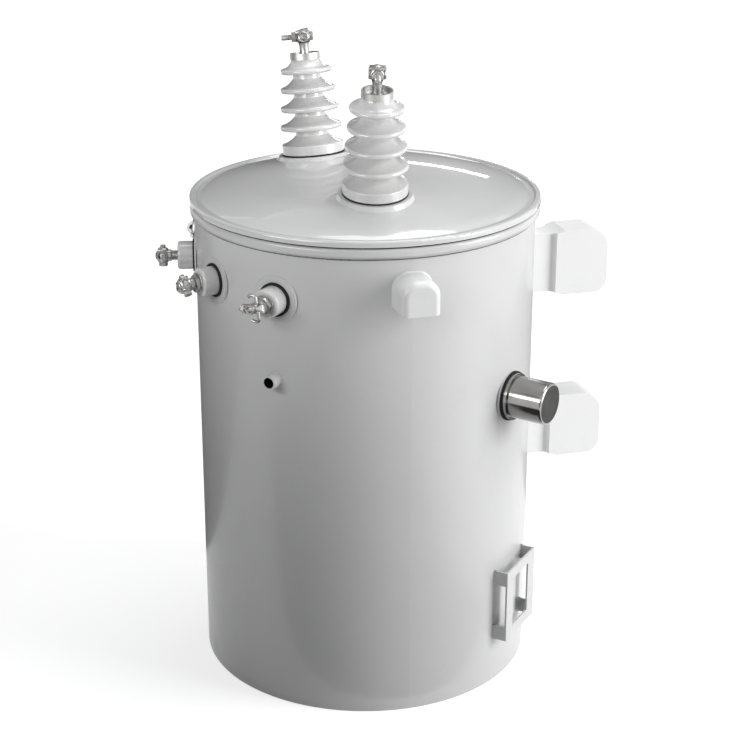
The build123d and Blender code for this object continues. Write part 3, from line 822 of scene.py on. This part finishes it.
neck_outline = [(-neck_half_w, -neck_half_h + 2 * neck_half_h * k / 40) for k in range(41)]
neck_outline += [(-neck_half_w + 2 * neck_half_w * k / 16, neck_half_h) for k in range(1, 16)]
neck_outline += [(neck_half_w, neck_half_h - 2 * neck_half_h * k / 40) for k in range(41)]
for place, height in hanger_heights.items():
    weld = bmesh.new()
    bead(weld, [on_wall(90, across, height + up) for across, up in neck_outline], hanger_weld_r, False)
    piece_from(f"hanger_weld_{place}", weld, hanger_paint)

# Nameplate bracket. A sheet-steel window frame on four legs, welded to the wall by the legs and
# sprayed together with it.
bracket_angle = 46.8
bracket_half_w = 0.052
leg_l = 0.024
leg_weld_r = 0.0021
leg_rows = {"low": 0.078, "high": 0.1755}

for across, side in ((-bracket_half_w, "left"), (bracket_half_w, "right")):
    for row, low_z in leg_rows.items():
        weld = bmesh.new()
        bead(
            weld, [on_wall(bracket_angle, across, low_z + leg_l * k / 14) for k in range(15)],
            leg_weld_r, False,
        )
        piece_from(f"bracket_weld_{side}_{row}", weld, tank_paint)

# Pipe stub. A short open pipe welded into the wall all round and sprayed together with it. A
# near-black metal lining in its bore is painted shade for the dark inside of the hole.
pipe_angle = -45
pipe_z = 0.5505
pipe_weld_path_r = 0.0112
pipe_weld_r = 0.0016
lining_inner_r = 0.0080
lining_outer_r = 0.00845
bore_shade_tone = (0.030, 0.029, 0.028)

weld = bmesh.new()
bead(
    weld,
    [
        on_wall(
            pipe_angle,
            pipe_weld_path_r * math.cos(math.tau * k / 40),
            pipe_z + pipe_weld_path_r * math.sin(math.tau * k / 40),
        )
        for k in range(40)
    ],
    pipe_weld_r, True,
)
piece_from("pipe_weld", weld, tank_paint)
# The bore lining's near-black metal is painted shade, standing in for the shade inside the pipe.
bore_painted_shade = plated("bore_painted_shade", bore_shade_tone, 0.6)
lining = bmesh.new()
pipe_place = wall_seat(pipe_angle, pipe_z, tank_r)
ring(lining, lining_inner_r, lining_outer_r, -0.0020, 0.0184, pipe_place, 0.0001, 32)
piece_from("pipe_bore_shade", lining, bore_painted_shade)

# Tap changer. A spun stainless cap over the switch shaft, on a flange and a black rubber ring.
# The lathe left fine rings round its side and on its face.
tap_angle = math.radians(42.5)
tap_z = 0.4895
steel_dark = (0.30, 0.295, 0.29)
steel_light = (0.38, 0.375, 0.37)
steel_line = (0.25, 0.245, 0.24)

steel, made, joined, surface = nodes_of("turned_steel")
where = made.new("ShaderNodeTexCoord").outputs["Object"]
tap_out = Vector((math.cos(tap_angle), math.sin(tap_angle), 0))
from_foot = made.new("ShaderNodeVectorMath")
from_foot.operation = "SUBTRACT"
from_foot.inputs[1].default_value = tap_out * tank_r + Vector((0, 0, tap_z))
joined.new(where, from_foot.inputs[0])
out_share = made.new("ShaderNodeVectorMath")
out_share.operation = "DOT_PRODUCT"
out_share.inputs[1].default_value = tap_out
joined.new(from_foot.outputs[0], out_share.inputs[0])
reach = made.new("ShaderNodeVectorMath")
reach.operation = "LENGTH"
joined.new(from_foot.outputs[0], reach.inputs[0])
rings_at = made.new("ShaderNodeCombineXYZ")
joined.new(out_share.outputs["Value"], rings_at.inputs[0])
joined.new(reach.outputs["Value"], rings_at.inputs[1])
lathe_lines = noise_at(made, joined, rings_at.outputs[0], 1500, 2, 0.6)
cloud = noise_at(made, joined, where, 40, 4)
colour = blend_colour(made, joined, spread(made, joined, cloud, 0, 1), steel_dark, steel_light)
lined = blend_colour(made, joined, spread(made, joined, lathe_lines, 0, 0.5), colour, steel_line)
joined.new(lined, surface.inputs["Base Color"])
surface.inputs["Metallic"].default_value = 1.0
surface.inputs["Anisotropic"].default_value = 0.5
joined.new(spread(made, joined, cloud, 0.11, 0.19), surface.inputs["Roughness"])
joined.new(bump_from(made, joined, lathe_lines, 0.20, 0.00006), surface.inputs["Normal"])
for node in ("tap_cap", "tap_flange"):
    nodes[node].data.materials[0] = steel

# Core and coils. Stacked steel sheets with their windings, one round block sealed inside the
# tank. It stands on the tank's bottom and has a dark oiled surface.
core_tone = (0.35, 0.34, 0.33)
core_steel = plated("core_steel", core_tone, 0.5)
nodes["core_and_coils"].data.materials[0] = core_steel
